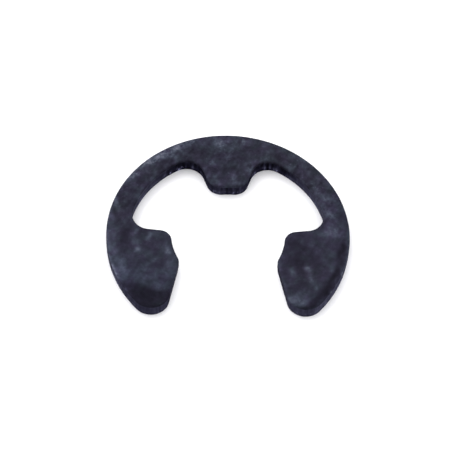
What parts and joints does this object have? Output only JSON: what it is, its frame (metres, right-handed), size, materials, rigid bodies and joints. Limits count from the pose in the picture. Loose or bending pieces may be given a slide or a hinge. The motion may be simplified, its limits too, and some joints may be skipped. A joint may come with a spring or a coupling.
{
  "type": "e clip retaining ring",
  "caption": "Flat E-shaped spring steel retaining clip with a centre tooth and two prongs that snap sideways into a shaft groove.",
  "frame": {"origin": "on the shaft axis, which is the centre of the outer circle, at the clip's lower face", "axes": "+Z along the shaft axis, up through the clip's thickness; +Y from the open mouth to the centre tooth; +X across the two prongs"},
  "size_m": [0.016, 0.0137, 0.001],
  "materials": {
    "black_phosphate_steel": "dark blue-grey phosphate over hardened spring steel, mottled and faintly oily, with darker sheared edges"
  },
  "bodies": {
    "root": {"e_clip": "black_phosphate_steel"}
  },
  "joints": []
}
